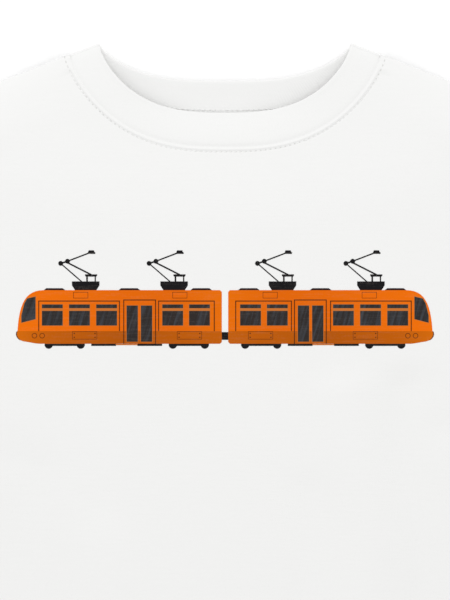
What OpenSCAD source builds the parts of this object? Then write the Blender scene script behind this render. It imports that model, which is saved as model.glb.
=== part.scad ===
// Child's round-neck T-shirt, lying flat on its back with its front up.
// +X runs to the right across the front, +Y runs from the hem to the collar, +Z runs up from the floor.
// The origin is on the floor, under the middle of the shirt.
// Every piece of cloth is one closed solid, and sewn pieces keep a thin named gap between them.

/* [Body] */
// Length from the top of the collar to the hem
body_length = 450; // [400:1:620]
// Width across the chest, lying flat
chest_width = 362; // [320:1:560]
// Width across the hem, lying flat
hem_width = 352; // [310:1:560]
// Width across the shoulders, from sleeve seam to sleeve seam
shoulder_width = 288; // [270:1:420]
// Slope of the shoulders, in degrees
shoulder_slope = 21; // [12:1:28]
// Height of the armhole, from the shoulder to the underarm
armhole_height = 142; // [115:1:190]
// How far the armhole curves in from the shoulder
armhole_curve = 8; // [2:1:16]
// Depth of the folded hem
hem_depth = 20; // [12:1:32]

/* [Sleeves] */
// Length of the sleeve's underarm seam
underarm_length = 48; // [36:1:90]
// Angle of the underarm seam below level, in degrees
underarm_drop = 30; // [20:1:45]
// Width of the sleeve's opening, lying flat
cuff_width = 112; // [90:1:160]
// Angle of the opening's edge away from the body's own up direction, in degrees
cuff_turn = 24; // [15:1:32]
// Depth of the folded sleeve hem
cuff_depth = 18; // [12:1:28]

/* [Neck] */
// Width of the opening between the collar's two high points
neck_width = 144; // [120:1:180]
// Drop of the front edge below the high points
front_drop = 38.6; // [30:0.2:90]
// Drop of the back edge below the high points
back_drop = 22.4; // [10:0.2:28]
// Width of the rib collar at the middle of the front
collar_width = 19; // [10:1:26]
// Width of the rib collar at the middle of the back, as it lies
back_width = 14.5; // [9:0.5:24]
// Length of cloth sewn in under the collar
collar_lap = 5; // [3:1:8]
// Width of the tape that covers the seam inside the back neck
tape_width = 9; // [6:1:14]

/* [Cloth] */
// Thickness of one layer of jersey, with its air
cloth = 1; // [0.6:0.1:1.6]
// Thickness of the folded rib
rib = 2; // [1.4:0.1:3]
// Height of the space between the front and the back of the body
body_loft = 12; // [9:1:30]
// Height of the space under the collar's front edge
neck_loft = 6; // [5:1:20]
// Height of the space inside the sleeve at its opening
sleeve_loft = 9; // [8:1:20]
// Distance from a seam over which the front rises to its full height
edge_roll = 32; // [20:1:45]
// Gap between two pieces of cloth that are sewn together
seam_gap = 0.2; // [0.1:0.1:0.4]

/* [Print] */
// Width of the printed picture across both cars
print_width = 232; // [160:1:250]
// Distance from the collar's high points down to the foot of the picture
print_foot = 173; // [160:1:230]
// Thickness of the ink film
film = 0.3; // [0.2:0.1:0.5]
// Width of the drawn lines
line_width = 0.6; // [0.4:0.1:1.2]

/* [Hidden] */

// Corners of the right half of the outline, in plan
neck_tip = [neck_width / 2, body_length / 2 - rib / 2];
shoulder_tip = [shoulder_width / 2,
                neck_tip.y - (shoulder_width - neck_width) / 2 * tan(shoulder_slope)];
underarm = [chest_width / 2, shoulder_tip.y - armhole_height];
hem_corner = [hem_width / 2, -body_length / 2];
cuff_bottom = underarm + underarm_length * [cos(underarm_drop), -sin(underarm_drop)];
cuff_top = cuff_bottom + cuff_width * [sin(cuff_turn), cos(cuff_turn)];
hem_line = hem_corner.y + hem_depth;

// Ends of the collar's sewn edge, on the shoulder line, where the collar is stretched narrower
seam_end = neck_tip + 0.89 * collar_width * [cos(shoulder_slope), -sin(shoulder_slope)];

// Grid of the cloth surfaces: columns along a shoulder, columns along the neckline, rows along
// the side seam, rows along the armhole, steps along the sleeve and steps around the collar
shoulder_cols = 8;
neck_cols = 24;
side_rows = 14;
arm_rows = 20;
sleeve_steps = 10;
collar_steps = 96;
collar_cols = 4;

// Rise of the front's edge where the collar's layers lie under it, and how far that reaches
neck_stack = rib + seam_gap;
stack_reach = 45;
// Distance from the neck's opening over which the front falls to it
neck_reach = 68;
// Clear height between the collar and the front that it is sewn to
collar_gap = 0.4;

function clamp01(t) = min(max(t, 0), 1);
function mix(a, b, t) = a + (b - a) * t;
function unit(v) = v / norm(v);
function mirror_x(p) = [-p.x, p.y];
function bezier(a, b, c, d, t) =
    a * pow(1 - t, 3) + b * 3 * t * pow(1 - t, 2) + c * 3 * t * t * (1 - t) + d * pow(t, 3);

// Distance from point p to the straight line between a and b
function line_distance(p, a, b) =
    let (along = clamp01((p - a) * (b - a) / ((b - a) * (b - a)))) norm(p - a - along * (b - a));

// Distance from point p to the nearest edge where the front and the back are joined
function seam_distance(p) =
    let (q = [abs(p.x), p.y])
    min(line_distance(q, neck_tip, shoulder_tip), line_distance(q, shoulder_tip, cuff_top),
        line_distance(q, underarm, cuff_bottom), line_distance(q, underarm, hem_corner));

// Share of the fall towards the neck at point p: 1 at the opening and 0 out of its reach
function neck_fall(p) =
    let (away = (norm([p.x / neck_tip.x, (p.y - neck_tip.y) / front_drop]) - 1) * front_drop,
         near = 1 - clamp01(away / neck_reach))
    near * near * (3 - 2 * near);

// Height of the underside of the shirt's upper layer over point p
function inner_height(p) =
    let (q = [abs(p.x), p.y],
         out = clamp01((q.x - shoulder_tip.x) / (cuff_top.x - shoulder_tip.x)),
         rise = sin(90 * clamp01(seam_distance(p) / edge_roll)),
         body = mix(body_loft, neck_loft, neck_fall(p)),
         stack = neck_stack * (1 - clamp01(line_distance(q, neck_tip, seam_end) / stack_reach)))
    cloth + seam_gap + stack + mix(body, sleeve_loft, out) * rise;

// Armhole of the right half, from the underarm (0) to the shoulder (1). It leaves the underarm a
// little short of straight on from the sleeve's seam, so that the sleeve lies flat there.
armhole_start = 180 - underarm_drop - 14;
function armhole(t) =
    bezier(underarm, underarm + 0.28 * armhole_height * [cos(armhole_start), sin(armhole_start)],
           [shoulder_tip.x - 1.6 * armhole_curve, mix(underarm.y, shoulder_tip.y, 0.5)],
           shoulder_tip, t);
// Share of the armhole at row k, closer near both ends
function arm_share(k) = (1 - cos(180 * k / arm_rows)) / 2;
// Direction out of the body, square to the armhole
function arm_outside(t) =
    let (along = armhole(min(t + 0.01, 1)) - armhole(max(t - 0.01, 0))) unit([along.y, -along.x]);

// A neckline from its right end (0 degrees) over its lowest point (90) to its left end (180)
function neckline(turn, end, drop, roundness, fullness) =
    [end.x * cos(turn), end.y - drop * pow(1 - pow(abs(cos(turn)), roundness), fullness)];
function front_fold(turn) = neckline(turn, neck_tip, front_drop, 3, 0.72);
function back_fold(turn) = neckline(turn, neck_tip, back_drop, 2.9, 0.8);
function front_seam(turn, lap = 0) =
    let (end = mix(seam_end, neck_tip, lap / collar_width))
    neckline(turn, end, end.y - (neck_tip.y - front_drop - collar_width + lap), 2.7, 0.76);
function back_seam(turn, lap = 0) =
    let (end = mix(seam_end, neck_tip, lap / collar_width))
    neckline(turn, end, end.y - (neck_tip.y - back_drop - back_width + lap), 2.8, 0.8);

// Edge of the cloth under the collar. The lap runs out towards the shoulder line, where the collar
// folds over.
function sewn_lap(turn) = mix(-collar_gap, collar_lap, sin(turn));
function front_cut(turn) = front_seam(turn, sewn_lap(turn));
function back_cut(turn) = back_seam(turn, sewn_lap(turn));

// Two triangles for each cell of a grid of points, with rows and columns that may close up
function grid_faces(rows, cols, first, flip, wrap_rows = false, wrap_cols = false) =
    [for (i = [0 : rows - (wrap_rows ? 1 : 2)], j = [0 : cols - (wrap_cols ? 1 : 2)], half = [0, 1])
        let (a = first + i * cols + j,
             b = first + i * cols + (j + 1) % cols,
             c = first + (i + 1) % rows * cols + (j + 1) % cols,
             d = first + (i + 1) % rows * cols + j,
             face = half == 0 ? [a, b, c] : [a, c, d])
        flip ? [face[2], face[1], face[0]] : face];

// Triangles of a strip between two closed loops of point numbers
function strip_faces(low, high) =
    [for (k = [0 : len(low) - 1], half = [0, 1])
        let (n = (k + 1) % len(low))
        half == 0 ? [low[k], low[n], high[n]] : [low[k], high[n], high[k]]];

function flatten(lists) = [for (list = lists) each list];

// A sheet of cloth between a lower and an upper grid of points
module sheet(lower, upper) {
    rows = len(lower);
    cols = len(lower[0]);
    count = rows * cols;
    rim = concat([for (j = [0 : cols - 1]) j],
                 [for (i = [1 : rows - 1]) i * cols + cols - 1],
                 [for (j = [cols - 2 : -1 : 0]) (rows - 1) * cols + j],
                 [for (i = [rows - 2 : -1 : 1]) i * cols]);
    polyhedron(points = concat(flatten(lower), flatten(upper)),
               faces = concat(grid_faces(rows, cols, 0, false),
                              grid_faces(rows, cols, count, true),
                              strip_faces([for (k = rim) k + count], rim)));
}

// A tube of cloth between outer and inner loops of points, open at both ends
module tube(outer, inner) {
    rows = len(outer);
    cols = len(outer[0]);
    count = rows * cols;
    last = (rows - 1) * cols;
    polyhedron(points = concat(flatten(outer), flatten(inner)),
               faces = concat(grid_faces(rows, cols, 0, true, false, true),
                              grid_faces(rows, cols, count, false, false, true),
                              strip_faces([for (j = [0 : cols - 1]) j],
                                          [for (j = [0 : cols - 1]) count + j]),
                              strip_faces([for (j = [0 : cols - 1]) count + last + j],
                                          [for (j = [0 : cols - 1]) last + j])));
}

// One loop around a flat tube that lies between plan points from and to, with walls of thickness t.
// Its lower layer lies on the floor and its upper layer follows the shirt's height.
function tube_outer(line, t) =
    concat([for (p = line) [p.x, p.y, 0]],
           [for (k = [len(line) - 1 : -1 : 0]) [line[k].x, line[k].y, upper_height(line[k], t) + t]]);
function tube_inner(line, t) =
    let (span = norm(line[len(line) - 1] - line[0]),
         inset = [for (k = [0 : len(line) - 1])
             mix(line[k], (line[0] + line[len(line) - 1]) / 2, 2 * t / span)])
    concat([for (p = inset) [p.x, p.y, t]],
           [for (k = [len(line) - 1 : -1 : 0]) [inset[k].x, inset[k].y, upper_height(inset[k], t)]]);
function upper_height(p, t) = inner_height(p) + t - cloth;

// Plan line across the body, y up from the hem
function body_line(y) =
    let (half = mix(hem_corner, underarm, (y - hem_corner.y) / (underarm.y - hem_corner.y)).x)
    [for (k = [0 : 2 * shoulder_cols + neck_cols]) [-half * column(k), y]];

// Share of the half width at column k, -1 at the right edge and 1 at the left, closer near the edges
function column(k) =
    let (last = 2 * shoulder_cols + neck_cols, mirrored = k > last / 2, n = mirrored ? last - k : k,
         share = n <= shoulder_cols
             ? 1 - 0.4 * pow(n / shoulder_cols, 1.5)
             : 0.6 * (1 - (n - shoulder_cols) / (neck_cols / 2)))
    mirrored ? -share : share;

// Upper edge of the front at column k: left shoulder, neckline, right shoulder
function front_top(k) =
    let (last = 2 * shoulder_cols + neck_cols)
    k < shoulder_cols
        ? mirror_x(mix(shoulder_tip, front_cut(0), pow(k / shoulder_cols, 1.5)))
        : k <= shoulder_cols + neck_cols
            ? front_cut(180 - 180 * (k - shoulder_cols) / neck_cols)
            : mix(shoulder_tip, front_cut(0), pow((last - k) / shoulder_cols, 1.5));

// Side edge of the right half at row i: side seam, then armhole
function side_edge(i) =
    i <= side_rows
        ? mix([body_line(hem_line)[0].x * -1, hem_line + seam_gap], underarm, i / side_rows)
        : armhole(arm_share(i - side_rows));

// Plan of the front at row i and column k, blended from its four edges
function front_plan(i, k) =
    let (rows = side_rows + arm_rows, cols = 2 * shoulder_cols + neck_cols,
         v = row_share(i), u = (1 - column(k)) / 2,
         low = [-column(k) * side_edge(0).x, side_edge(0).y],
         edge = mix(mirror_x(side_edge(i)), side_edge(i), u),
         corner_low = mix(mirror_x(side_edge(0)), side_edge(0), u),
         corner_top = mix(mirror_x(shoulder_tip), shoulder_tip, u))
    mix(low, front_top(k), v) + edge - mix(corner_low, corner_top, v);
function row_share(i) = (side_edge(i).y - side_edge(0).y) / (shoulder_tip.y - side_edge(0).y);

function raise(p, z) = [p.x, p.y, z];

module front_panel() {
    plan = [for (i = [0 : side_rows + arm_rows])
        [for (k = [0 : 2 * shoulder_cols + neck_cols]) front_plan(i, k)]];
    color("white")
        sheet([for (row = plan) [for (p = row) raise(p, inner_height(p))]],
              [for (row = plan) [for (p = row) raise(p, inner_height(p) + cloth)]]);
}

module back_panel() {
    half = concat([[side_edge(0).x, hem_line + seam_gap]],
                  [for (k = [0 : arm_rows]) armhole(arm_share(k))]);
    color("white")
        linear_extrude(cloth)
            polygon(concat(half,
                           [for (k = [0 : 2 * neck_cols]) back_cut(90 * k / neck_cols)],
                           [for (k = [len(half) - 1 : -1 : 0]) mirror_x(half[k])]));
}

// Plan line across the sleeve at share t of its length, from its underarm seam to its upper fold
function sleeve_line(t) =
    [for (k = [0 : arm_rows])
        let (up = arm_share(k))
        mix(armhole(up) + seam_gap * arm_outside(up), mix(cuff_bottom, cuff_top, up), t)];

// The stretch of sleeve between shares a and b, with walls of thickness t
module sleeve_tube(a, b, steps, t) {
    lines = [for (i = [0 : steps]) sleeve_line(mix(a, b, i / steps))];
    tube([for (line = lines) tube_outer(line, t)], [for (line = lines) tube_inner(line, t)]);
}

cuff_share = 1 - cuff_depth / norm(cuff_top - shoulder_tip);
gap_share = seam_gap / norm(cuff_bottom - underarm);

module right_sleeve() {
    color("white") sleeve_tube(0, cuff_share - gap_share, sleeve_steps, cloth);
}

module left_sleeve() {
    mirror([1, 0, 0]) right_sleeve();
}

module right_cuff() {
    color("white") sleeve_tube(cuff_share, 1, 3, 2 * cloth);
}

module left_cuff() {
    mirror([1, 0, 0]) right_cuff();
}

module bottom_hem() {
    lines = [for (i = [0 : 3]) body_line(mix(hem_line, hem_corner.y, i / 3))];
    color("white")
        tube([for (line = lines) tube_outer(line, 2 * cloth)],
             [for (line = lines) tube_inner(line, 2 * cloth)]);
}

// Middle of the collar's cloth at a turn around the neck (0 to 180 over the front, 180 to 360 over
// the back) and a share of its width, from the folded edge (0) to the sewn edge (1)
function collar_plan(turn, share) =
    turn <= 180 ? mix(front_fold(turn), front_seam(turn), share)
                : mix(back_fold(turn), back_seam(turn), share);
function collar_back_height() = cloth + seam_gap + rib / 2;
function collar_point(turn, share) =
    let (around = (turn + 360) % 360, p = collar_plan(around, share),
         front = inner_height(p) + cloth + collar_gap + rib / 2)
    raise(p, around > 180 ? collar_back_height()
        : around == 0 || around == 180 ? (front + collar_back_height()) / 2 : front);
function collar_normal(turn, share) =
    let (step = 360 / collar_steps, inside = min(share, 0.75))
    unit(cross(collar_point(turn, inside + 0.25) - collar_point(turn, inside),
               collar_point(turn + step, share) - collar_point(turn - step, share)));

module neckband() {
    shares = [for (k = [0 : collar_cols]) k / collar_cols];
    loops = [for (i = [0 : collar_steps - 1])
        let (turn = 360 * i / collar_steps)
        concat([for (s = shares) collar_point(turn, s) + collar_normal(turn, s) * rib / 2],
               [for (k = [collar_cols : -1 : 0])
                   collar_point(turn, shares[k]) - collar_normal(turn, shares[k]) * rib / 2])];
    color("whitesmoke")
        polyhedron(points = flatten(loops),
                   faces = grid_faces(collar_steps, 2 * (collar_cols + 1), 0, true, true, true));
}

module neck_tape() {
    turns = [for (k = [0 : 40]) mix(24, 156, k / 40)];
    upper = [for (t = turns) back_seam(t) - [0, seam_gap]];
    color("white")
        translate([0, 0, cloth])
            linear_extrude(cloth)
                polygon(concat(upper, [for (k = [len(upper) - 1 : -1 : 0]) upper[k] - [0, tape_width]]));
}

// The picture is drawn for a width of 232 from the middle of the shirt, x out and y up from the
// foot of its bodies, and then scaled
print_scale = print_width / 232;
print_level = 2 * cloth + seam_gap + body_loft;
print_base = body_length / 2 - print_foot + 3 * print_scale;
line = line_width / print_scale;
body_high = 30;
skirt_high = 7.1;
coupler = 1.8;
nose = 116.2;
panel_high = 17.1;
sash_low = 10.2;
sash_high = 18.4;
vent_low = 19.9;
window_high = 11.8;
first_windows = [8.5, 23.5];
last_windows = [60.5, 75.7, 90.9];
pane = 11.6;
doors = [40.8, 48.8];
door_wide = 6.3;
wheel_size = 2.3;

module on_chest() {
    translate([0, print_base, print_level])
        linear_extrude(film)
            scale(print_scale) children();
}

// Both cars of the picture: the right one as drawn, the left one mirrored
module both_cars() {
    children();
    mirror([1, 0]) children();
}

module stroke(a, b, wide = line) {
    translate(a)
        rotate(atan2(b.y - a.y, b.x - a.x))
            translate([0, -wide / 2]) square([norm(b - a), wide]);
}

module frame_of(low, size, wide = line) {
    translate(low)
        difference() {
            translate([-wide, -wide]) square([size.x + 2 * wide, size.y + 2 * wide]);
            square(size);
        }
}

// Outline of a car from the coupler end, over the roof and down the rounded nose
function nose_point(t) =
    bezier([101.4, body_high], [111.5, body_high], [115.2, 23], [nose, skirt_high], t);
module car_side() {
    polygon(concat([[coupler, skirt_high], [coupler, body_high - 1], [coupler + 1, body_high]],
                   [for (k = [0 : 12]) nose_point(k / 12)]));
}

module car_skirt() {
    polygon([[coupler + 1, 0], [coupler, 1], [coupler, skirt_high], [nose, skirt_high], [116.5, 5.9],
             [116.4, 4.6], [115.7, 3.2], [114.5, 2], [113, 1.4], [106, 0.2], [104, 0]]);
}

module cab_glass() {
    polygon([[106.1, 13.8], [106.1, 26.4], [110.8, 25.3], [112.3, 22.6], [114, 15.8], [114, 11.8]]);
}

module car_windows() {
    for (x = concat(first_windows, last_windows))
        translate([x, 0]) {
            translate([0, sash_low]) square([pane, sash_high - sash_low]);
            translate([0, vent_low]) square([pane, 2.1]);
        }
    for (x = doors) translate([x, 1.1]) square([door_wide, 20.3]);
    cab_glass();
}

// Pale frames around the glass, and the step under the doors
module car_trim() {
    for (x = concat(first_windows, last_windows)) {
        frame_of([x, sash_low], [pane, window_high], 0.4 * line);
        translate([x, sash_high]) square([pane, vent_low - sash_high]);
    }
    for (x = doors) frame_of([x, 1.1], [door_wide, 20.3], 0.4 * line);
    difference() {
        offset(delta = 0.5 * line) cab_glass();
        cab_glass();
    }
    translate([49, -0.8]) square([12.1, 0.7]);
}

// Three sides of a panel that stands on level low
module panel_edge(x, low, wide, high) {
    for (side = [x - line, x + wide]) translate([side, low]) square([line, high]);
    translate([x - line, low + high]) square([wide + 2 * line, line]);
}

// Thin dark outlines of panels, doors, hatches, lamps, roof plates and the bumper
module car_seams() {
    panel_edge(59.4, skirt_high, 44.6, panel_high - line);
    panel_edge(6.3, skirt_high, 30.6, panel_high - line);
    panel_edge(39.2, 0, 17.2, 24.2);
    for (x = [13.2, 71.9]) {
        frame_of([x, 2.7], [13.4, 4], 0.45 * line);
        for (corner = [0.9, 12.5], y = [3.6, 5.8]) translate([x + corner, y]) circle(r = 0.4, $fn = 12);
    }
    for (x = [21.4, 76.9]) frame_of([x, 25.7], [7.8, 3], 0.45 * line);
    for (x = [102.4, 106.7])
        translate([x, 4.5])
            difference() {
                circle(r = 1.5, $fn = 32);
                circle(r = 1.5 - 0.6 * line, $fn = 32);
            }
    polygon([[nose, skirt_high], [116.9, 6.6], [117.1, 5.2], [116.7, 3.9], [115.9, 2.8], [114.9, 2],
             [114.5, 2], [115.7, 3.2], [116.4, 4.6], [116.5, 5.9]]);
}

// Running gear under the body, roof pods and coupler
module car_gear() {
    for (x = [11.3, 80.8]) bogie(x);
    for (x = [35.2, 61.1]) translate([x, -1.2]) square([13.8, 1.2]);
    for (x = [7.3, 47.5, 89.4])
        translate([x, body_high]) polygon([[0, 0], [12.1, 0], [10.6, 1.1], [1.5, 1.1]]);
    translate([0, 2.2]) square([coupler, 4.3]);
}

module bogie(x) {
    difference() {
        for (side = [0, 17.9]) translate([x + side, -0.5]) circle(r = wheel_size, $fn = 36);
        translate([x - 2 * wheel_size, 0]) square([17.9 + 4 * wheel_size, 2 * wheel_size]);
    }
    translate([x - wheel_size, -1.2]) square([17.9 + 2 * wheel_size, 1.2]);
}

module pantograph(x) {
    translate([x, body_high]) {
        polygon([[-6, 0], [6, 0], [7.7, 2.7], [7.7, 4.9], [-7.7, 4.9], [-7.7, 2.7]]);
        translate([0.3, 4.8]) square([0.9, 3]);
        translate([5, 4.8]) square([0.7, 3]);
        polygon([[0.1, 7.6], [5.9, 7.6], [6.4, 8.2], [6.4, 8.85], [-0.4, 8.85], [-0.4, 8.2]]);
        stroke([-2.3, 4.8], [-13.6, 14.6], 0.65);
        stroke([3.2, 8.6], [-10.2, 15.4], 0.85);
        stroke([-14, 15], [-10.2, 16.2], 0.9);
        stroke([-10.2, 16.2], [1.8, 20.8], 0.75);
        translate([-14, 15]) circle(r = 1.35, $fn = 28);
        translate([-10.2, 16.2]) circle(r = 1.35, $fn = 28);
        polygon([[0.9, 20.4], [1.7, 22.3], [4.6, 22.3], [4.8, 21.5], [5.5, 20.9], [5.2, 20.3]]);
    }
}

module print_cars() {
    color("darkorange")
        on_chest()
            both_cars()
                difference() {
                    car_side();
                    car_windows();
                    car_trim();
                    car_seams();
                }
}

module print_skirts() {
    color("chocolate")
        on_chest()
            both_cars()
                difference() {
                    car_skirt();
                    car_windows();
                    car_trim();
                    car_seams();
                }
}

module print_windows() {
    color("dimgray") on_chest() both_cars() car_windows();
}

module print_trim() {
    color("tan")
        on_chest()
            both_cars()
                difference() {
                    car_trim();
                    car_windows();
                    car_seams();
                    car_gear();
                }
}

module print_seams() {
    color("saddlebrown")
        on_chest()
            both_cars()
                difference() {
                    car_seams();
                    car_windows();
                    car_gear();
                }
}

module print_gear() {
    color("black")
        on_chest() {
            both_cars() car_gear();
            for (x = [-78, -28.5, 32.2, 81.7]) pantograph(x);
        }
}

back_panel();
front_panel();
left_sleeve();
right_sleeve();
bottom_hem();
left_cuff();
right_cuff();
neckband();
neck_tape();
print_cars();
print_skirts();
print_windows();
print_trim();
print_seams();
print_gear();
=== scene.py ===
import bpy
import numpy as np
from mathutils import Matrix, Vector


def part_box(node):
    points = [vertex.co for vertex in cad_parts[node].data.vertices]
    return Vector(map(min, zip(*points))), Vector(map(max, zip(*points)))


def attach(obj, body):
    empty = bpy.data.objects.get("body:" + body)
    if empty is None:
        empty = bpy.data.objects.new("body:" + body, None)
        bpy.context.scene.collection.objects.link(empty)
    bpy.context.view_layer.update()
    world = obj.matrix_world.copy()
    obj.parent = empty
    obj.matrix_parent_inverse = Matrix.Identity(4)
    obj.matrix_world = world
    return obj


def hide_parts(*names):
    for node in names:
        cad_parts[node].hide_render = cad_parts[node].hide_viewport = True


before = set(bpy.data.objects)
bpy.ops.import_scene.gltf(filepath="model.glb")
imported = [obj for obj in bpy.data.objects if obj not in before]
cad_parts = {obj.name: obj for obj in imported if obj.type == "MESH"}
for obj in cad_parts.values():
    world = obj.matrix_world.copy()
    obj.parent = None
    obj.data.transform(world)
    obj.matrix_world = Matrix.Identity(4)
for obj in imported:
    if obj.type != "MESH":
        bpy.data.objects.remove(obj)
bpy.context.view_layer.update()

# ---- Back panel -------------------------------------------------------------------------------
# The back of the body: one piece of fine white cotton jersey, cut to the outline and sewn to the
# front along its sides and shoulders. It lies on the floor, and its inside shows in the neck.

MM = 0.001


def box_mm(node):
    """Lowest and highest corners of a node of the frame, in millimetres."""
    low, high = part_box(node)
    return np.array(low) / MM, np.array(high) / MM


def mix(a, b, t):
    """The point a share t of the way from a to b."""
    return a + (b - a) * t


def direction(degrees):
    """Unit step in plan at that angle from the shirt's right."""
    return np.array([np.cos(np.radians(degrees)), np.sin(np.radians(degrees))])


# Slopes in degrees, then lengths: from the middle to the collar's high point, on to the shoulder's
# end, down the armhole, under the arm and across the cuff
shoulder_slope = 21
underarm_drop = 30
cuff_lean = 66
half_neck = 72.0
shoulder_run = 72
armhole_height = 142.0
underarm_length = 48
cuff_width = 112

# The collar at its high points, in front and behind: its width, and how far its folded edge drops
tip_width = 16.9
front_width = 19.7
back_width = 14.5
front_drop = 38.6
back_drop = 22.4

# Corners of the right half's outline: the collar's top is 0.9 above its high points, and the hem's
# lower corner 0.4 in from its side
hem_low, hem_high = box_mm("bottom_hem")
neck_tip = np.array([half_neck, box_mm("neckband")[1][1] - 0.9])
shoulder_tip = neck_tip + shoulder_run * np.array([1, -np.tan(np.radians(shoulder_slope))])
underarm = np.array([box_mm("front_panel")[1][0], shoulder_tip[1] - armhole_height])
hem_corner = np.array([hem_high[0] - 0.4, hem_low[1]])
hem_line = hem_high[1]
cuff_bottom = underarm + underarm_length * direction(-underarm_drop)
cuff_top = cuff_bottom + cuff_width * direction(cuff_lean)
seam_end = neck_tip + tip_width * direction(-shoulder_slope)


def bezier(a, b, c, d, t):
    """Cubic curve from a to d that leaves towards b and arrives from c, at the shares t."""
    t = np.asarray(t)[..., None]
    return a * (1 - t) ** 3 + b * 3 * t * (1 - t) ** 2 + c * 3 * t**2 * (1 - t) + d * t**3


def armhole(t):
    """Armhole of the right half, a cubic curve from the underarm (0) to the shoulder (1)."""
    inward = underarm + 0.28 * armhole_height * direction(166 - underarm_drop)
    upward = np.array([shoulder_tip[0] - 12.8, underarm[1] + armhole_height / 2])
    return bezier(underarm, inward, upward, shoulder_tip, t)


def neckline(turn, end, drop, roundness, fullness):
    """A neckline at the angles turn, from its right end (0) over its lowest point to its left end:
    across by the cosine, down by drop times (1 - cosine to the roundness) to the fullness."""
    across = np.abs(np.cos(turn))
    fall = drop * (1 - across**roundness) ** fullness
    return np.stack([end[0] * np.cos(turn), end[1] - fall], axis=-1)


def front_fold(turn):
    """Folded edge of the collar over the front."""
    return neckline(turn, neck_tip, front_drop, 3, 0.72)


def back_fold(turn):
    """Folded edge of the collar over the back."""
    return neckline(turn, neck_tip, back_drop, 2.9, 0.8)


def front_seam(turn):
    """Seam of the collar and the front."""
    return neckline(turn, seam_end, seam_end[1] - neck_tip[1] + front_drop + front_width, 2.7, 0.76)


def back_seam(turn):
    """Seam of the collar and the back."""
    return neckline(turn, seam_end, seam_end[1] - neck_tip[1] + back_drop + back_width, 2.8, 0.8)


def distance_to(points, line):
    """Distance of each point from a line of straight stretches, and how far along the line its
    nearest place is: a point is dropped square onto every stretch, and the nearest wins."""
    start, step = line[:-1], np.diff(line, axis=0)
    length = np.linalg.norm(step, axis=1)
    before = np.concatenate([[0], np.cumsum(length)[:-1]])
    flat = points.reshape(-1, 2)
    nearest, along = [], []
    for part in np.array_split(flat, max(1, len(flat) // 4000)):
        away = part[:, None] - start
        share = np.clip((away * step).sum(-1) / length**2, 0, 1)
        gap = np.linalg.norm(away - share[..., None] * step, axis=-1)
        best = gap.argmin(1)[:, None]
        nearest.append(np.take_along_axis(gap, best, 1)[:, 0])
        along.append(np.take_along_axis(before + share * length, best, 1)[:, 0])
    shape = points.shape[:-1]
    return np.concatenate(nearest).reshape(shape), np.concatenate(along).reshape(shape)


def right_half(points):
    """The points, with those of the left half turned over onto the right half."""
    return np.stack([np.abs(points[..., 0]), points[..., 1]], axis=-1)


# Folded edges of the right half, above and below, carried on past the cuff and the hem
upper_edge = np.array([neck_tip, shoulder_tip, cuff_top + 30 * direction(-26)])
lower_edge = np.array([cuff_bottom + 30 * direction(-underarm_drop), underarm, hem_corner - [0.7, 40]])

# Heights of the two layers' outsides where they meet at a folded edge
edge_low = 0.6
edge_high = 2.0


def swell(distance, reach):
    """Rise from 0 at a folded edge to 1 at that reach from it, steep first and level at the end."""
    left = 1 - np.clip(distance / reach, 0, 1)
    return (1 - left**2) ** 0.62


def bell(away, width):
    """A bell curve: 1 at the middle, falling to 1/e that width away from it."""
    return np.exp(-((away / width) ** 2))


def floor_height(points):
    """Height of the lower layer's outside: on the floor, and curling up to the folded edges."""
    above = distance_to(right_half(points), upper_edge)[0]
    below = distance_to(right_half(points), lower_edge)[0]
    return edge_low * (1 - swell(above, 7) * swell(below, 7))


def grid_faces(rows, cols, first=0, close_rows=False, close_cols=False):
    """Four-sided faces between neighbours of a grid of points numbered row by row."""
    i = np.arange(rows if close_rows else rows - 1)[:, None]
    j = np.arange(cols if close_cols else cols - 1)[None, :]
    here, over = i * cols, (i + 1) % rows * cols
    right = (j + 1) % cols
    quads = np.stack([here + j, here + right, over + right, over + j], axis=-1)
    return quads.reshape(-1, 4) + first


def strip_faces(low, high):
    """Four-sided faces between two closed loops of point numbers."""
    return np.stack([low, np.roll(low, -1), np.roll(high, -1), high], axis=-1)


def mesh_piece(name, nodes, points, faces, material, uv=None):
    """A smooth closed mesh from points in millimetres, with its faces turned outwards: a negative
    sum of (a x b) . c over the faces means that they all point in. uv has one pair a point."""
    points = np.asarray(points).reshape(-1, 3)
    a, b, c, d = (points[faces[:, k]] for k in range(4))
    inside_out = (np.cross(a, b) * c).sum() + (np.cross(a, c) * d).sum() < 0
    faces = faces[:, ::-1] if inside_out else faces
    mesh = bpy.data.meshes.new(name)
    mesh.from_pydata((points * MM).tolist(), [], faces.tolist())
    mesh.shade_smooth()
    mesh.materials.append(material)
    if uv is not None:
        layer = mesh.uv_layers.new(name="seam")
        layer.uv.foreach_set("vector", (uv.reshape(-1, 2)[faces.ravel()]).ravel().astype(np.float32))
    made = bpy.data.objects.new(name, mesh)
    bpy.context.collection.objects.link(made)
    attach(made, "root")
    if nodes:
        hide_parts(*nodes)
    return made


def cloth_sheet(upper, lower):
    """Points and faces of a sheet of cloth between two grids, closed around its rim."""
    rows, cols = upper.shape[:2]
    count = rows * cols
    number = np.arange(count).reshape(rows, cols)
    rim = np.concatenate([number[0], number[1:, -1], number[-1, -2::-1], number[-2:0:-1, 0]])
    faces = [
        grid_faces(rows, cols),
        grid_faces(rows, cols, count)[:, ::-1],
        strip_faces(rim + count, rim),
    ]
    return np.concatenate([upper.reshape(-1, 3), lower.reshape(-1, 3)]), np.concatenate(faces)


def raised(plan, height):
    """Plan points with their heights."""
    return np.concatenate([plan, height[..., None]], axis=-1)


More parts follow.
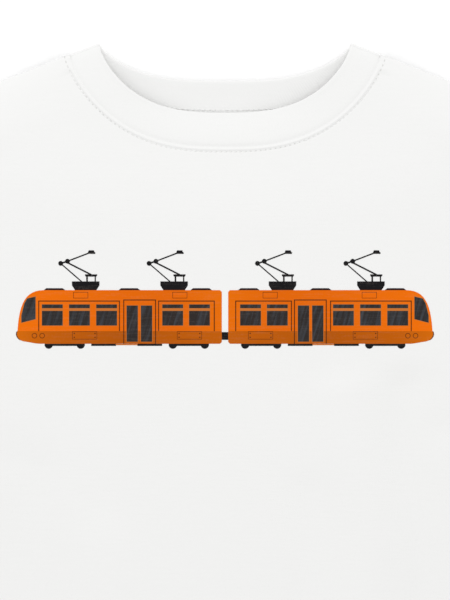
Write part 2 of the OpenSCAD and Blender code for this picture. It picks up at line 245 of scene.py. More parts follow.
# Columns of a panel from side (-1) to side (1), closest at the sides, and its rows from the hem (0) to
# the top (1), closest at the neckline. The neckline takes the middle neck_share of the columns.
half_width = 176
panel_height = 371
neck_share = 0.6
beside = np.array([0, 0.25, 0.6, 1.1, 1.8, 2.8, 4.2, 6, 8.5, 12, 16, 21, 27, 34, 42, 51, 61]) / half_width
columns = np.concatenate([beside - 1, np.linspace(-neck_share, neck_share, 121), 1 - beside[::-1]])
at_seam_rows = np.linspace(0, 7, 25)
widening_rows = 7 + 33 * np.linspace(0, 1, 26)[1:] ** 1.3
even_rows = np.linspace(40, panel_height, 111)[1:]
rows = 1 - np.concatenate([at_seam_rows, widening_rows, even_rows])[::-1] / panel_height
armhole_line = armhole(np.linspace(0, 1, 80))


def panel_plan(seam):
    """Plan of a panel, blended from its four edges: the mean of the hem-to-top and side-to-side
    lines through each place, less the same between the four corners."""
    outer = np.abs(columns) > neck_share
    share = ((1 - np.abs(columns)) / (1 - neck_share))[outer, None]
    half = np.stack([np.sign(columns[outer]), np.ones(outer.sum())], axis=-1)
    top = np.empty((len(columns), 2))
    top[outer] = mix(shoulder_tip, seam_end, share) * half
    top[~outer] = seam(np.pi / 2 * (1 - columns[~outer] / neck_share))
    corner = np.array([hem_high[0], hem_line])
    side = np.concatenate([[corner], armhole_line])
    height = mix(hem_line, shoulder_tip[1], rows)
    edge = np.stack([np.interp(height, side[:, 1], side[:, 0]), height], axis=-1)
    v, u = rows[:, None, None], ((columns + 1) / 2)[None, :, None]
    low = np.stack([columns * corner[0], np.full_like(columns, hem_line)], axis=-1)
    sides = mix(edge[:, None] * [-1, 1], edge[:, None], u)
    corners = mix(mix(corner * [-1, 1], corner, u), mix(shoulder_tip * [-1, 1], shoulder_tip, u), v)
    return mix(low[None], top[None], v) + sides - corners


def linear(hex_colour):
    """Linear red, green, blue and alpha from an sRGB hex colour."""
    part = np.array([int(hex_colour[i : i + 2], 16) for i in (1, 3, 5)]) / 255
    return (*np.where(part <= 0.04045, part / 12.92, ((part + 0.055) / 1.055) ** 2.4), 1.0)


def node(tree, kind, inputs=None, **settings):
    """Adds a shader node. inputs maps a socket's name or number to a value or to another socket."""
    made = tree.nodes.new(kind)
    for name, value in settings.items():
        setattr(made, name, value)
    for key, value in (inputs or {}).items():
        if isinstance(value, bpy.types.NodeSocket):
            tree.links.new(value, made.inputs[key])
        else:
            made.inputs[key].default_value = value
    return made


def new_material(name):
    """An empty material and its node tree."""
    made = bpy.data.materials.new(name)
    made.use_nodes = True
    made.node_tree.nodes.clear()
    return made, made.node_tree


def noise(tree, place, scale, detail):
    """Soft noise from 0 to 1 at that place, with that many patches a metre along each axis."""
    spot = node(tree, "ShaderNodeMapping", {"Vector": place, "Scale": scale})
    settings = {"Vector": spot.outputs[0], "Scale": 1.0, "Detail": detail}
    return node(tree, "ShaderNodeTexNoise", settings).outputs[0]


def blend(tree, share, a, b):
    """The colour that share of the way from a to b."""
    colours = {"Factor": share, "A": a, "B": b}
    return node(tree, "ShaderNodeMix", colours, data_type="RGBA").outputs[2]


def knit_height(tree, place):
    """Height of the knit, 0 to 1: the uneven courses that run across the shirt, 14 mm long and
    1.1 mm high, and the grain of single loops, 0.7 mm, drawn as noise as they are too fine to show."""
    courses = noise(tree, place, (70, 900, 200), 2.0)
    loops = noise(tree, place, (1400, 1400, 1400), 1.0)
    heights = {"Factor": 0.4, "A": courses, "B": loops}
    return node(tree, "ShaderNodeMix", heights, data_type="FLOAT").outputs[0]


# Bleached cotton: a soft white just short of paper, matt, with the faint bloom of its fibres; a copy
# of it 2.5 in 100 darker, painted as shade where the knit lies low; and the painted shade around a
# needle hole
COTTON = linear("#EBEBEA")
COTTON_SHADED = [0.975 * part for part in COTTON[:3]] + [1]
NEEDLE_HOLE_SHADE = linear("#D2D2D0")
stitch_pitch = 2.75


def needle_hole_shade(tree, seam_place, row):
    """Strength, 0 to 1, of the painted shade around the needle holes of a row that far from the seam:
    oval spots, one every stitch_pitch, that fade out 0.6 mm to the row's sides and 1.2 mm along it."""
    shift = {"Vector": seam_place, "Scale": (1 / stitch_pitch, 1, 1), "Location": (0, -row, 0)}
    spot = node(tree, "ShaderNodeMapping", shift)
    parts = node(tree, "ShaderNodeSeparateXYZ", {0: spot.outputs[0]})
    turn = node(tree, "ShaderNodeMath", {0: parts.outputs[0], 1: 0.5}, operation="PINGPONG")
    across = node(tree, "ShaderNodeMath", {0: turn.outputs[0], 1: 1.4}, operation="MULTIPLY")
    both = node(tree, "ShaderNodeCombineXYZ", {0: across.outputs[0], 1: parts.outputs[1], 2: 0.0})
    away = node(tree, "ShaderNodeVectorMath", {0: both.outputs[0]}, operation="LENGTH")
    fade = {"Value": away.outputs["Value"], "From Min": 0.6, "From Max": 0.1}
    return node(tree, "ShaderNodeMapRange", fade, interpolation_type="SMOOTHSTEP").outputs[0]


def cotton(name, depth=0.12, stitch_rows=()):
    """Bleached cotton knit: the knit's height gives the bump, its depth in millimetres, and paints shade
    where the knit lies low, darkening the cloth by up to 2.5 in 100. stitch_rows are the distances from
    the seam of rows of stitches, whose needle holes get a painted shade."""
    made, tree = new_material(name)
    place = node(tree, "ShaderNodeTexCoord")
    height = knit_height(tree, place.outputs["Object"])
    # Painted shade: the cloth turns to the darker copy where the knit lies low
    shade = blend(tree, height, COTTON_SHADED, COTTON)
    for row in stitch_rows:
        # Painted shade around each needle hole of the row
        shade = blend(tree, needle_hole_shade(tree, place.outputs["UV"], row), shade, NEEDLE_HOLE_SHADE)
    bump = node(tree, "ShaderNodeBump", {"Height": height, "Distance": depth * MM, "Strength": 1.0})
    finish = {
        "Base Color": shade,
        "Roughness": 0.9,
        "Specular IOR Level": 0.25,
        "Sheen Weight": 0.15,
        "Sheen Roughness": 0.6,
        "Normal": bump.outputs[0],
    }
    skin = node(tree, "ShaderNodeBsdfPrincipled", finish)
    node(tree, "ShaderNodeOutputMaterial", {"Surface": skin.outputs[0]})
    return made


jersey_thick = 0.7
back_plan = panel_plan(back_seam)
back_low = floor_height(back_plan)
back_points, back_faces = cloth_sheet(
    raised(back_plan, back_low + jersey_thick), raised(back_plan, back_low)
)
back_jersey = cotton("cotton jersey, back")
back = mesh_piece("back_panel_cloth", ["back_panel"], back_points, back_faces, back_jersey)

# ---- Front panel ------------------------------------------------------------------------------
# The front of the body, of the same jersey. It lies over the back with air between them, and falls
# in soft folds below the print. Its neckline is stitched down beside the collar.

# Height of the chest's outside, and how far the stitches beside the collar lie from its seam
chest_level = 14.4
neck_stitches = 2.9

# How far that height falls to the cuffs, to the hem and to the neck, and the side, top and foot of the
# stretch under the print that stays flat
cuff_fall, hem_fall, neck_fall = 3.5, 3, 6
flat_side, flat_top, flat_foot = 119, 109, 50


def smooth(share):
    """The share eased at both its ends."""
    return share**2 * (3 - 2 * share)


def ridge(points, start, end, width, height):
    """A soft ridge or, with a negative height, a valley along a line that waves by 3 mm."""
    waving = points + 3 * np.sin(points[..., ::-1] / 23 + start[0])
    away = distance_to(waving, np.array([start, end], dtype=float))[0]
    return height * bell(away, width)


# Soft folds: start, end, width and height of each. The first nine are below the print, then come two
# at the underarms, four in the sleeves and two beside the shoulders.
folds = [
    ((70, 25), (86, -230), 15, 2.4),
    ((102, 35), (122, -230), 13, -2.8),
    ((140, 20), (150, -230), 12, 1.6),
    ((44, -25), (50, -160), 10, -1.0),
    ((14, -110), (6, -230), 15, 1.6),
    ((-30, -120), (-38, -230), 14, -1.8),
    ((-66, -60), (-80, -230), 16, 1.8),
    ((-104, -20), (-116, -230), 14, -1.6),
    ((-140, 10), (-152, -230), 12, 1.6),
    ((170, 48), (128, 4), 9, -1.8),
    ((-170, 48), (-126, -6), 9, -1.8),
    ((178, 78), (246, 110), 9, 1.8),
    ((165, 102), (225, 138), 9, -1.6),
    ((-178, 84), (-240, 108), 9, 1.8),
    ((-163, 110), (-230, 130), 9, -1.6),
    ((135, 160), (150, 100), 10, -1.2),
    ((-135, 156), (-152, 104), 10, -1.2),
]


def lie(points):
    """Height of the upper layer's outside, without its seams: from the folded edges up to the
    chest's level, lower in the sleeves, at the hem and at the neck, with folds that leave the
    print flat."""
    half = right_half(points)
    x, y = half[..., 0], half[..., 1]
    above = distance_to(half, upper_edge)[0]
    below = distance_to(half, lower_edge)[0]

    # It falls from the shoulder to the cuff, over the last 125 above the hem and the last 68 before
    # the collar's folded edge
    outwards = np.clip((x - shoulder_tip[0]) / (cuff_top[0] - shoulder_tip[0]), 0, 1)
    to_hem = np.clip((-100 - y) / 125, 0, 1)
    opening = np.hypot(x / neck_tip[0], (y - neck_tip[1]) / front_drop) - 1
    to_neck = smooth(1 - np.clip(opening * front_drop / 68, 0, 1))
    level = chest_level - cuff_fall * outwards - hem_fall * to_hem**2 - neck_fall * to_neck

    # It rises over 32 from a folded edge, which is 2.2 higher where the collar turns over
    tip = distance_to(half, np.array([neck_tip, seam_end]))[0]
    edge = edge_high + 2.2 * (1 - np.clip(tip / 45, 0, 1))
    rise = swell(above, 32) * swell(below, 32)

    # Folds fade out around the flat stretch, and a waviness 0.22 high goes with them
    beside_print = np.clip((x - flat_side) / 16, 0, 1)
    over_print = np.clip((y - flat_top) / 16, 0, 1)
    under_print = np.clip((flat_foot - y) / 22, 0, 1)
    free = smooth(np.clip(beside_print + over_print + under_print, 0, 1))
    soft = sum(ridge(points, *fold) for fold in folds)
    soft = soft + 0.22 * np.sin(points[..., 0] / 17 + points[..., 1] / 31) * np.sin(points[..., 1] / 24)
    return edge + (level - edge + soft * free) * rise


neck_line = front_seam(np.linspace(0, np.pi, 241))


def seam_dip(away, depth, width):
    """A seam's valley with the roll of cloth beside it: minus the depth at the seam, and a third of
    it up at two widths away."""
    return depth * (bell(away - 2 * width, width) / 3 - bell(away, width))


def neck_dip(points):
    """Depth of the neckline seam's valley: 0.55 mm in the middle, fading to 0.3 mm beside it."""
    return 0.3 + 0.25 * bell(points[..., 0], 42)


def top_height(points):
    """Height of the upper layer's outside with its seams, the armholes and the neckline: the cloth
    is drawn down by the neckline's stitches, and swells between them and the seam. Seams level out
    towards the folded edges."""
    at_arm = distance_to(right_half(points), armhole_line)[0]
    at_neck = distance_to(points, neck_line)[0]
    level = lie(points)
    free = np.clip((level - edge_high) / 3, 0, 1)
    inner = np.clip((distance_to(right_half(points), upper_edge)[0] - 1.5) / 8, 0, 1)
    drawn_down = -0.3 * bell(at_neck - neck_stitches, 0.55)
    roll = 0.25 * bell(at_neck - 1.5, 0.6)
    at_collar = seam_dip(at_neck, neck_dip(points), 0.75) + drawn_down + roll
    return level + free * seam_dip(at_arm, 0.9, 1.3) + inner * at_collar


front_plan = panel_plan(front_seam)
front_top = top_height(front_plan)
front_points, front_faces = cloth_sheet(
    raised(front_plan, front_top), raised(front_plan, front_top - jersey_thick)
)
# Distance from the neckline seam and along it, which places the painted shade of the needle holes
from_seam, along_seam = distance_to(front_plan, neck_line)
front_uv = np.stack([along_seam, from_seam], axis=-1)
front_jersey = cotton("cotton jersey, front", stitch_rows=[neck_stitches])
front = mesh_piece(
    "front_panel_cloth", ["front_panel"], front_points, front_faces, front_jersey,
    np.concatenate([front_uv.reshape(-1, 2)] * 2),
)

# ---- Sleeves ----------------------------------------------------------------------------------
# Two short tubes of jersey, each seamed along its underarm and set into an armhole. They lie flat,
# folded along their upper edge.

SIDES = (("right", [1, 1]), ("left", [-1, 1]))
cuff_depth = 18

# Shares of the way across the sleeve, closest at its two folds
around = (1 - np.cos(np.linspace(0, np.pi, 71))) / 2


def sleeve_line(t):
    """Plan lines across the sleeve at the shares t of its length, from underarm to upper fold."""
    t = np.asarray(t)[:, None, None]
    return mix(armhole(around), mix(cuff_bottom, cuff_top, around[:, None]), t)


def loop(plan, depth):
    """Closed loops around a flat tube, that deep under the outside of its cloth: the lower layer
    from the first fold to the last, a point on that fold, the upper layer back, and a point on the
    first fold. The plan is drawn in at both folds by 1.2 times the depth, and the points on the
    folds stand out by 0.3 mm."""
    first, last = plan[..., :1, :], plan[..., -1:, :]
    span = np.linalg.norm(last - first, axis=-1, keepdims=True)
    deep = np.asarray(depth)[..., None, None]
    inset = mix(plan, (first + last) / 2, 2.4 * deep / span)
    low = floor_height(inset) + deep[..., 0]
    high = np.maximum(top_height(inset) - deep[..., 0], low + 0.1)
    out = 0.3 * (last - first) / span
    return np.concatenate(
        [
            raised(inset, low),
            raised(inset[..., -1:, :] + out, (low + high)[..., -1:] / 2),
            raised(inset, high)[..., ::-1, :],
            raised(inset[..., :1, :] - out, (low + high)[..., :1] / 2),
        ],
        axis=-2,
    )


def cloth_tube(plan, thick):
    """Points and faces of an open tube of cloth: its outside, its inside and its two cut ends."""
    outer, inner = loop(plan, np.zeros(len(plan))), loop(plan, np.full(len(plan), thick))
    count = outer.shape[0] * outer.shape[1]
    ends = np.arange(count).reshape(outer.shape[:2])
    faces = [
        grid_faces(*outer.shape[:2], close_cols=True),
        grid_faces(*outer.shape[:2], first=count, close_cols=True)[:, ::-1],
        strip_faces(ends[0] + count, ends[0]),
        strip_faces(ends[-1], ends[-1] + count),
    ]
    return np.concatenate([outer.reshape(-1, 3), inner.reshape(-1, 3)]), np.concatenate(faces)


# The sleeve's cloth ends where the cuff starts, at cuff_share of the way to the cuff's edge
cuff_share = 1 - cuff_depth / np.linalg.norm(cuff_top - shoulder_tip)
sleeve_steps = np.concatenate([[0, 0.003, 0.007, 0.013, 0.02, 0.03, 0.045], np.linspace(0.06, 1, 60)])
sleeve_jersey = cotton("cotton jersey, sleeves")
for side, flip in SIDES:
    points, faces = cloth_tube(sleeve_line(sleeve_steps * cuff_share) * flip, jersey_thick)
    sleeve = mesh_piece(
        f"{side}_sleeve_cloth", [f"{side}_sleeve"], points, faces, sleeve_jersey
    )

# ---- Bottom hem -------------------------------------------------------------------------------
# The foot of the body, turned up inside by 20 mm and held by two rows of stitches. The turned
# cloth makes it two layers thick with a round lower edge.

hem_depth = 20
hem_thick = 1.6


def half_circle(steps):
    """Angles of that many places on a half circle, its two ends left out."""
    return np.linspace(0, np.pi, steps + 2)[1:-1]


def turned_edge(line, width, thick):
    """A hem's loops carried around its profile: down the outside to the edge, around the fold as a
    half circle, and back up inside. line gives the plan lines at distances from the edge."""
    down = np.linspace(width, thick / 2, 16)
    bend = half_circle(7)
    from_edge = np.concatenate([down, thick / 2 * (1 - np.sin(bend)), down[::-1]])
    turned_in = thick / 2 * (1 - np.cos(bend))
    depth = np.concatenate([np.zeros(len(down)), turned_in, np.full(len(down), thick)])
    points = loop(line(from_edge), depth)
    return points, grid_faces(*points.shape[:2], close_rows=True, close_cols=True)


def body_line(from_edge):
    """Plan lines across the body at those distances up from the hem's edge."""
    y = hem_corner[1] + from_edge[:, None]
    half = mix(hem_corner[0], hem_high[0], from_edge[:, None] / hem_depth)
    return np.stack([half * columns, y + 0 * columns], axis=-1)


hem_jersey = cotton("cotton jersey, hems")
hem_points, hem_faces = turned_edge(body_line, hem_depth, hem_thick)
hem = mesh_piece("bottom_hem_cloth", ["bottom_hem"], hem_points, hem_faces, hem_jersey)

# ---- Sleeve cuffs -----------------------------------------------------------------------------
# The ends of the sleeves, turned in by 18 mm and held by two rows of stitches in the same way.


def cuff_line(from_edge):
    """Plan lines across the sleeve at those distances in from the cuff's edge."""
    return sleeve_line(1 - (1 - cuff_share) * from_edge / cuff_depth)


for side, flip in SIDES:
    points, faces = turned_edge(lambda from_edge: cuff_line(from_edge) * flip, cuff_depth, hem_thick)
    cuff = mesh_piece(f"{side}_cuff_cloth", [f"{side}_cuff"], points, faces, hem_jersey)

# ---- Neck tape --------------------------------------------------------------------------------
# A strip of jersey sewn over the seam inside the back neck, flat along the back. It is thinnest along
# its edges, with a shallow crease beside the upper one.

tape_width = 9
tape_turn = np.linspace(np.radians(22), np.radians(158), 181)
tape_share = np.concatenate([[0, 0.02, 0.05, 0.1], np.linspace(0.16, 0.84, 12), [0.9, 0.95, 0.98, 1]])
tape_plan = back_seam(tape_turn)[None] - tape_share[:, None, None] * [0, tape_width] - [0, 0.3]
tape_round = (1 - np.abs(2 * tape_share - 1) ** 8) ** 0.5
tape_high = jersey_thick + 0.25 + 0.75 * tape_round[:, None] + np.zeros(len(tape_turn))
tape_high = tape_high - 0.3 * bell(tape_share[:, None] * tape_width - 0.6, 0.5)
tape_points, tape_faces = cloth_sheet(
    raised(tape_plan, tape_high), raised(tape_plan, np.full_like(tape_high, jersey_thick))
)
tape_jersey = cotton("cotton jersey, neck tape")
tape = mesh_piece("neck_tape_cloth", ["neck_tape"], tape_points, tape_faces, tape_jersey)

# ---- Neckband ---------------------------------------------------------------------------------
# The collar: a ring of cotton rib, folded double along its inner edge and sewn to both panels. It
# lies over the front, folds at the two high points and lies on the back.

rib_thick = 2.0
rib_pitch = 1.5
rib_depth = 0.03

# Shares of the way across the collar from its folded edge (0) to its seam (1), and on under the panel
band_share = np.concatenate([np.linspace(0, 0.86, 11), [0.91, 0.95, 0.98, 1.0, 1.03, 1.09, 1.16]])
to_seam = np.clip(1 - band_share, 0, 1)
middle_station = 5

# Stations along the front and the back and around each turn at the shoulder, the front's usual width
# for its creases, the height of the collar's middle where it lies on the back, and how far past the
# back seam its stitches run
front_steps, back_steps, turn_steps = 900, 760, 14
usual_width = 17
back_level = 1.35
back_stitches = 0.5


def even_turns(fold, seam, steps):
    """Angles that step evenly along the middle of the collar's cloth, and its length there."""
    turn = np.linspace(0, np.pi, 2001)
    middle = (fold(turn) + seam(turn)) / 2
    length = np.concatenate([[0], np.cumsum(np.linalg.norm(np.diff(middle, axis=0), axis=1))])
    return np.interp(np.linspace(0, length[-1], steps), length, turn), length[-1]


def band_part(fold, seam, turns, drawn):
    """Plan of the collar between its folded edge and its seam, and on a little way past the seam,
    with the fold drawn back towards the seam by that distance in the middle."""
    across = (seam(turns) - fold(turns))[:, None]
    width = np.linalg.norm(across, axis=-1, keepdims=True)
    back = drawn * np.sin(turns)[:, None, None] ** 3 * across / width
    return fold(turns)[:, None] + across * band_share[:, None] + back * to_seam[:, None]


def at_tips(length, steps):
    """How far the collar is drawn in at the high point it starts from, fading over 7 mm."""
    return 1.9 * np.exp(-np.linspace(0, length, steps) / 7)[:, None, None]


front_turns, front_length = even_turns(front_fold, front_seam, front_steps)
back_turns, back_length = even_turns(back_fold, back_seam, back_steps)

# Over the front: 0.75 under the jersey's outside, with a crease at the seam and a round folded edge
# that sinks into the opening towards the middle
front_band_plan = band_part(front_fold, front_seam, front_turns, 1.1)
crease = (neck_dip(front_band_plan) + 0.15) * bell(to_seam * usual_width, 1.2)
bead = 0.25 * bell(band_share * usual_width, 1.2)
sink = 4.0 * to_seam**2.2 * np.sin(front_turns)[:, None] ** 4
front_band = raised(front_band_plan, lie(front_band_plan) - 0.75 - crease + bead - sink)

# On the back: flat at the seam, and rising a little to its folded edge
back_band_plan = band_part(back_fold, back_seam, back_turns[::-1], -0.5)
back_rise = 1.6 * to_seam**1.5 * np.sin(np.linspace(0, np.pi, back_steps))[:, None]
back_band = raised(back_band_plan, back_level + back_rise)


def turn_over(above, below, outwards, steps):
    """Stations where the collar turns over at the shoulder, a half circle from one line to another."""
    angle = half_circle(steps)[:, None, None]
    middle, half = (above + below) / 2, (above - below) / 2
    size = np.linalg.norm(half, axis=-1, keepdims=True)
    return middle + half * np.cos(angle) + outwards * size * np.sin(angle)


left_out = np.array([*direction(90 + shoulder_slope), 0.0])
right_out = left_out * [-1, 1, 1]
drawn_in = at_tips(front_length, front_steps)
front_band = front_band - drawn_in * right_out - drawn_in[::-1] * left_out
drawn_in = at_tips(back_length, back_steps)
back_band = back_band - drawn_in * left_out - drawn_in[::-1] * right_out
left_turn = turn_over(front_band[-1], back_band[0], left_out, turn_steps)
right_turn = turn_over(back_band[-1], front_band[0], right_out, turn_steps)
band = np.concatenate([front_band, left_turn, back_band, right_turn])

# Normals of the band's middle surface, and the way out over its folded edge
along = np.roll(band, -1, axis=0) - np.roll(band, 1, axis=0)
over = np.gradient(band, axis=1)
band_normal = np.cross(along, over)
band_normal /= np.linalg.norm(band_normal, axis=-1, keepdims=True)
inwards = -over[:, 0] / np.linalg.norm(over[:, 0], axis=-1, keepdims=True)

# Ribs: a whole number of them around the ring, thinner in the furrows between them
middle_line = band[:, middle_station]
gone = np.cumsum(np.linalg.norm(np.diff(middle_line, axis=0, prepend=middle_line[-1:]), axis=-1))
ribs = round(gone[-1] / rib_pitch)
wave = 0.5 + 0.5 * np.cos(2 * np.pi * ribs * gone / gone[-1])
half_thick = (rib_thick / 2 - rib_depth * (1 - wave) ** 1.5)[:, None, None]

# The cloth around that surface: its outside, the round of its folded edge, and its inside
bend = half_circle(7)[:, None]
rim = band[:, :1] + (band_normal[:, :1] * np.cos(bend) + inwards[:, None] * np.sin(bend)) * half_thick
outside = band + band_normal * half_thick
inside = band - band_normal * half_thick
band_points = np.concatenate([outside[:, ::-1], rim, inside], axis=1)
band_faces = grid_faces(*band_points.shape[:2], close_rows=True, close_cols=True)

# Distance past the back seam, for the painted shade of the needle holes: elsewhere the value is too
# far for any hole
NO_SEAM = 99.0
back_start = front_steps + turn_steps
past_seam = np.full(band.shape[:2], NO_SEAM)
past_seam[back_start : back_start + back_steps] = (band_share - 1) * back_width
rim_past_seam = np.full(rim.shape[:2], NO_SEAM)
band_past_seam = np.concatenate([past_seam[:, ::-1], rim_past_seam, past_seam], axis=1)
band_uv = np.stack(np.broadcast_arrays(gone[:, None], band_past_seam), axis=-1).reshape(-1, 2)
rib_cotton = cotton("cotton rib, neckband", depth=0.06, stitch_rows=[back_stitches])
collar = mesh_piece(
    "neckband_rib", ["neckband"], band_points, band_faces, rib_cotton, band_uv
)

# ---- Stitches ---------------------------------------------------------------------------------
# Spun polyester thread. One row holds the neckline beside the collar, one runs just past the seam
# inside the back neck, and two hold the hem and each cuff. Each stitch is a small arch of thread
# between two holes.

thread_thick = 0.42


def stitch_row(path, normals):
    """Stitches along a path of points: each is a tube of 9 rings of 6 points from hole to hole, with
    its middle raised by two fifths of its thickness and its ends sunk by half of it."""
    rings, sides = 9, 6
    length = np.concatenate([[0], np.cumsum(np.linalg.norm(np.diff(path, axis=0), axis=1))])
    count = int(length[-1] / stitch_pitch)
    t = np.linspace(0, 1, rings)
    at = (np.arange(count)[:, None] + 0.06 + 0.88 * t) * stitch_pitch
    place = np.stack([np.interp(at, length, path[:, k]) for k in range(3)], axis=-1)
    up = np.stack([np.interp(at, length, normals[:, k]) for k in range(3)], axis=-1)
    place = place + up * (thread_thick * 0.9 * (np.sin(np.pi * t) - 0.55))[:, None]
    ahead = np.gradient(place, axis=1)
    ahead /= np.linalg.norm(ahead, axis=-1, keepdims=True)
    aside = np.cross(ahead, up)
    angle = np.linspace(0, 2 * np.pi, sides, endpoint=False)[:, None]
    taper = np.sqrt(np.clip(1 - (2 * t - 1) ** 6, 0.05, 1))
    radius = (thread_thick / 2 * taper)[None, :, None, None]
    points = place[:, :, None] + (aside[:, :, None] * np.cos(angle) + up[:, :, None] * np.sin(angle)) * radius
    near_cap = np.array([[3, 2, 1, 0], [5, 4, 3, 0]])
    far_cap = np.array([[0, 1, 2, 3], [0, 3, 4, 5]]) + (rings - 1) * sides
    one = np.concatenate([grid_faces(rings, sides, close_cols=True), near_cap, far_cap])
    starts = rings * sides * np.arange(count)[:, None, None]
    return points.reshape(-1, 3), (one[None] + starts).reshape(-1, 4)


def upward(path):
    """Straight up at each point of a path."""
    return np.zeros_like(path) + [0, 0, 1.0]


def join(parts):
    """Points and faces of several meshes as one."""
    start = np.cumsum([0] + [len(points) for points, _ in parts[:-1]])
    renumbered = [faces + first for (_, faces), first in zip(parts, start)]
    return np.concatenate([points for points, _ in parts]), np.concatenate(renumbered)


def offset_path(path, away):
    """A plan path moved square to itself, by that distance to its right."""
    step = np.gradient(path, axis=0)
    step /= np.linalg.norm(step, axis=-1, keepdims=True)
    return path + away * np.stack([step[:, 1], -step[:, 0]], axis=-1)


# Spun polyester sewing thread, a little whiter and smoother than the cloth
white_thread, tree = new_material("spun polyester thread, white")
place = node(tree, "ShaderNodeTexCoord")
twist = node(tree, "ShaderNodeTexNoise", {"Vector": place.outputs["Object"], "Scale": 4000.0})
bump = node(tree, "ShaderNodeBump", {"Height": twist.outputs[0], "Distance": 0.05 * MM})
skin = node(
    tree,
    "ShaderNodeBsdfPrincipled",
    {"Base Color": linear("#F1F1F0"), "Roughness": 0.65, "Sheen Weight": 0.2, "Normal": bump.outputs[0]},
)
node(tree, "ShaderNodeOutputMaterial", {"Surface": skin.outputs[0]})


def stitch_piece(name, rows_of_stitches):
    """A mesh of stitches along those paths, each given with its upward normals."""
    points, faces = join([stitch_row(*row) for row in rows_of_stitches])
    return mesh_piece(name, [], points, faces, white_thread)


# The neckline's row stops 6 of 400 steps short of each high point
neck_turns = even_turns(front_fold, front_seam, 400)[0][6:-6]
neck_path = offset_path(front_seam(neck_turns), -neck_stitches)
neck_row = raised(neck_path, top_height(neck_path))
back_path = back_seam(np.linspace(np.radians(24), np.radians(156), 200)) - [0, back_stitches]
back_row = raised(back_path, back_level + rib_thick / 2 + 0 * back_path[:, 0])
neck_rows = [(neck_row, upward(neck_row)), (back_row, upward(back_row))]
stitch_piece("neckline_stitches", neck_rows)


def around_tube(line, at):
    """The closed path around a tube at that distance from its edge, and the cloth's normals."""
    path, next_path = loop(line(np.array([at, at + 0.5])), np.zeros(2))
    path, next_path = (np.concatenate([ring, ring[:1]]) for ring in (path, next_path))
    normal = np.cross(np.gradient(path, axis=0), next_path - path)
    normal /= np.maximum(np.linalg.norm(normal, axis=-1, keepdims=True), 1e-9)
    out = np.sign((normal * (path - path.mean(0)) * [0, 0, 1]).sum(-1).sum())
    return path, normal * out


# Rows 4.5 and 1.5 mm from the turned cloth's cut edge
rows_in = np.array([4.5, 1.5])
hem_rows = [around_tube(body_line, at) for at in hem_depth - rows_in]
stitch_piece("hem_stitches", hem_rows)
for side, flip in SIDES:
    cuff_rows = [around_tube(lambda d: cuff_line(d) * flip, at) for at in cuff_depth - rows_in]
    stitch_piece(f"{side}_cuff_stitches", cuff_rows)

# ---- Print ------------------------------------------------------------------------------------
# A tram of two cars, screen printed in six water-based inks. The ink is a thin matt film, and the
# knit of the jersey shows through it.

# A cab's distance from the shirt's middle, where a car's colours end, and the colours that worn ink
# and streaks turn towards
cab = 117
WORN_INK = linear("#E8D8C8")
STREAK = linear("#5A6470")

# How far a streak leans, in radians, and how many fit in a metre across and along it
streak_lean = 0.28
streaks_a_metre = (560, 40, 1)


def streak_share(tree, place, strength):
    """Share of the streak's colour: slanting bands about 1.8 mm wide and 25 mm long."""
    turn = {"Vector": place, "Angle": streak_lean}
    leant = node(tree, "ShaderNodeVectorRotate", turn, rotation_type="Z_AXIS")
    bands = noise(tree, leant.outputs[0], streaks_a_metre, 2.0)
    levels = {"Value": bands, "From Min": 0.45, "From Max": 0.75, "To Max": strength}
    return node(tree, "ShaderNodeMapRange", levels).outputs[0]


def ink(name, colours, streaks=0.0):
    """A screen ink. colours are (x in millimetres, hex) pairs along one car from the shirt's middle
    out to its cab, blended evenly between them and the same on both cars. The knit lightens it a
    little, and streaks are paler bands of that strength."""
    made, tree = new_material(name)
    place = node(tree, "ShaderNodeTexCoord").outputs["Object"]
    spot = node(tree, "ShaderNodeSeparateXYZ", {0: place})
    middle = node(tree, "ShaderNodeMath", {0: spot.outputs[0]}, operation="ABSOLUTE")
    share = node(tree, "ShaderNodeMapRange", {"Value": middle.outputs[0], "From Max": cab * MM})
    ramp = node(tree, "ShaderNodeValToRGB", {"Fac": share.outputs[0]})
    stops = ramp.color_ramp.elements
    stops[0].position, stops[0].color = colours[0][0] / cab, linear(colours[0][1])
    stops[1].position, stops[1].color = colours[-1][0] / cab, linear(colours[-1][1])
    for x, colour in colours[1:-1]:
        stops.new(x / cab).color = linear(colour)
    height = knit_height(tree, place)
    levels = {"Value": height, "From Min": 0.5, "From Max": 0.85, "To Max": 0.05}
    worn = node(tree, "ShaderNodeMapRange", levels)
    shade = blend(tree, worn.outputs[0], ramp.outputs[0], WORN_INK)
    if streaks:
        shade = blend(tree, streak_share(tree, place, streaks), shade, STREAK)
    bump = node(tree, "ShaderNodeBump", {"Height": height, "Distance": 0.08 * MM})
    finish = {
        "Base Color": shade,
        "Roughness": 0.62,
        "Specular IOR Level": 0.06,
        "Normal": bump.outputs[0],
    }
    skin = node(tree, "ShaderNodeBsdfPrincipled", finish)
    node(tree, "ShaderNodeOutputMaterial", {"Surface": skin.outputs[0]})
    return made


orange = [(0, "#DF6A00"), (30, "#D96200"), (58, "#DC6400"), (cab, "#E86C00")]
burnt_orange = [(0, "#BA5A02"), (60, "#AC5202"), (100, "#BA5A02"), (cab, "#CC6602")]
inks = {
    "print_cars": ink("orange screen ink", orange),
    "print_skirts": ink("burnt orange screen ink", burnt_orange),
    "print_windows": ink("slate screen ink", [(0, "#2E2826"), (cab, "#2C2A2A")], streaks=0.3),
    "print_trim": ink("tan screen ink", [(0, "#BE6E30"), (cab, "#BE6E30")]),
    "print_seams": ink("brown screen ink", [(0, "#5E2C0A"), (cab, "#5E2C0A")]),
    "print_gear": ink("black screen ink", [(0, "#161517"), (cab, "#161517")]),
}
for name, material in inks.items():
    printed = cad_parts[name]
    printed.data.materials.clear()
    printed.data.materials.append(material)

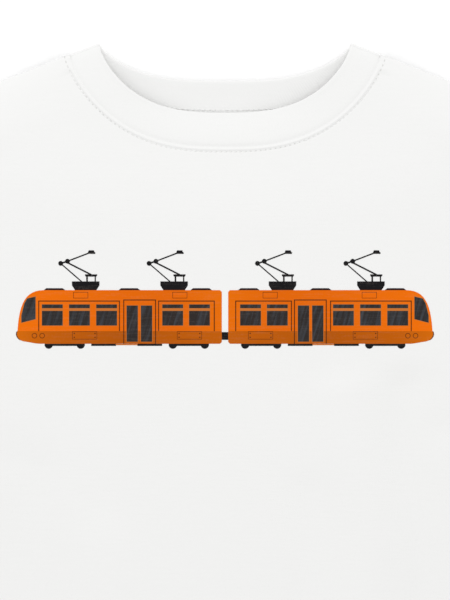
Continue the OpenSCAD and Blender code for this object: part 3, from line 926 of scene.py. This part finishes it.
# ---- Floor, light and camera ------------------------------------------------------------------
# A plain pale floor, one large soft lamp beyond the collar, and a camera straight above the chest.
# Lengths here are in metres. The floor lies 0.3 mm low, clear of the cloth.

reach = 3.0
below_cloth = -0.0003
chest_middle = (0, 0.08, 0)
floor_mesh = bpy.data.meshes.new("floor")
corners = reach * np.array([[-1, -1], [1, -1], [1, 1], [-1, 1]])
floor_mesh.from_pydata(raised(corners, np.full(4, below_cloth)).tolist(), [], [[0, 1, 2, 3]])
floor = bpy.data.objects.new("floor", floor_mesh)
bpy.context.collection.objects.link(floor)
paint, tree = new_material("matt white floor paint")
flat_paint = node(tree, "ShaderNodeBsdfDiffuse", {"Color": (0.97, 0.97, 0.97, 1)})
node(tree, "ShaderNodeOutputMaterial", {"Surface": flat_paint.outputs[0]})
floor_mesh.materials.append(paint)

scene = bpy.context.scene
scene.view_settings.view_transform = "Standard"
world = bpy.data.worlds.new("studio")
scene.world = world
world.use_nodes = True
sky = world.node_tree.nodes["Background"]
sky.inputs["Color"].default_value = (1, 1, 1, 1)
sky.inputs["Strength"].default_value = 0.92


def soft_lamp(name, place, size, watts):
    """A square area lamp at that place, turned to the middle of the chest."""
    lamp = bpy.data.lights.new(name, "AREA")
    lamp.shape, lamp.size, lamp.energy = "SQUARE", size, watts
    made = bpy.data.objects.new(name, lamp)
    made.location = place
    away = made.location - type(made.location)(chest_middle)
    made.rotation_euler = away.to_track_quat("Z", "Y").to_euler()
    bpy.context.collection.objects.link(made)


soft_lamp("key", place=(-0.25, 1.5, 1.8), size=1.3, watts=12.5)

# The camera's height, the view's width at the chest's level, and how far up the shirt its middle lies
eye_height = 1.4
view_width = 0.252
view_middle = 0.0795
camera = bpy.data.cameras.new("camera")
camera.sensor_fit = "HORIZONTAL"
camera.sensor_width = 36
camera.lens = camera.sensor_width * (eye_height - chest_level * MM) / view_width
camera.clip_end = 20
eye = bpy.data.objects.new("camera", camera)
eye.location = (0, view_middle, eye_height)
bpy.context.collection.objects.link(eye)
scene.camera = eye
